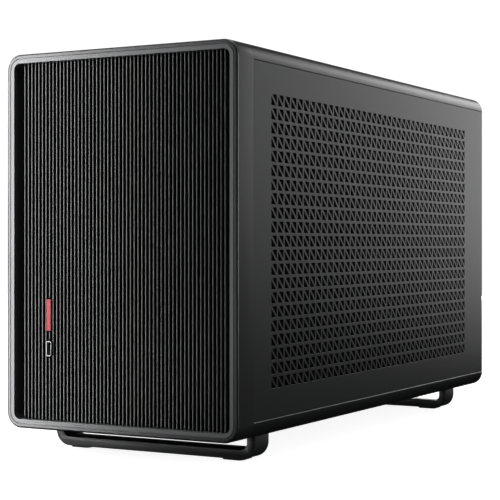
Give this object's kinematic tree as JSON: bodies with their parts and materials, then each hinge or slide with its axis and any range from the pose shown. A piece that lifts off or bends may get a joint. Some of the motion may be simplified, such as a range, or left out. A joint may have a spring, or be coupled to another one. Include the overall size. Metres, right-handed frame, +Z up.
{
  "type": "micro-atx computer case",
  "caption": "Compact upright computer case with a finned front in a round-edged frame, triangular side vents, pull-off panels, a red power button and bent bar feet.",
  "frame": {"origin": "on the floor under the middle of the case", "axes": "+X to the right seen from the front, +Y from the front to the rear, +Z up"},
  "size_m": [0.2, 0.488, 0.299],
  "materials": {
    "shell_paint": "fine satin powder coat",
    "bezel_paint": "satin moulded frame",
    "ring_satin": "satin metallic coat",
    "grille_satin": "satin moulded fins",
    "inner_paint": "matt black paint",
    "foot_metal": "black anodised",
    "foot_rubber": "matt",
    "button_red": "bright red",
    "port_metal": "plated",
    "black_plastic": "moulded",
    "filter_net": "fine nylon net",
    "circuit_board": "solder mask",
    "screw_steel": "plated",
    "standoff_brass": "turned"
  },
  "bodies": {
    "chassis": {"base_shell": "shell_paint", "top_shell": "shell_paint", "top_vent_panel": "shell_paint", "top_fan_bracket": "inner_paint", "front_plate": "inner_paint", "rear_plate": "inner_paint", "rear_fan_grille": "inner_paint", "slot_cover_1": "inner_paint", "slot_cover_2": "inner_paint", "slot_cover_3": "inner_paint", "slot_cover_4": "inner_paint", "slot_ledge": "inner_paint", "slot_thumbscrews": "screw_steel", "power_inlet": "black_plastic", "inlet_pins": "screw_steel", "inlet_screws": "screw_steel", "motherboard_tray": "inner_paint", "standoffs": "standoff_brass", "psu_bracket": "inner_paint", "psu_bracket_screws": "screw_steel", "drive_tray_lower": "inner_paint", "drive_tray_upper": "inner_paint", "drive_tray_screws": "screw_steel", "right_panel_sockets": "black_plastic", "left_panel_sockets": "black_plastic", "front_panel_sockets": "black_plastic", "front_foot_bar": "foot_metal", "rear_foot_bar": "foot_metal", "front_left_foot_pad": "foot_rubber", "front_right_foot_pad": "foot_rubber", "rear_left_foot_pad": "foot_rubber", "rear_right_foot_pad": "foot_rubber", "foot_screws": "screw_steel"},
    "front_panel": {"front_bezel": "bezel_paint", "grille_ring": "ring_satin", "front_grille": "grille_satin", "control_housing": "black_plastic", "control_board": "circuit_board", "power_switch": "black_plastic", "usb_c_collar": "port_metal", "usb_c_tongue": "black_plastic", "filter_mesh": "filter_net", "filter_frame": "black_plastic", "front_panel_studs": "screw_steel"},
    "power_button": {"power_button": "button_red"},
    "right_panel": {"right_side_panel": "shell_paint", "right_panel_net": "filter_net", "right_panel_studs": "screw_steel"},
    "left_panel": {"left_side_panel": "shell_paint", "left_panel_net": "filter_net", "left_panel_studs": "screw_steel"}
  },
  "joints": [
    {"name": "front_panel_pull", "type": "slide", "parent": "chassis", "child": "front_panel", "axis": [0, -1, 0], "range_m": [0, 0.06]},
    {"name": "right_panel_pull", "type": "slide", "parent": "chassis", "child": "right_panel", "axis": [1, 0, 0], "range_m": [0, 0.06]},
    {"name": "left_panel_pull", "type": "slide", "parent": "chassis", "child": "left_panel", "axis": [-1, 0, 0], "range_m": [0, 0.06]},
    {"name": "power_button_press", "type": "slide", "parent": "front_panel", "child": "power_button", "axis": [0, 1, 0], "range_m": [0, 0.001], "stiffness_N_per_m": 1500, "springref_m": -0.001}
  ]
}
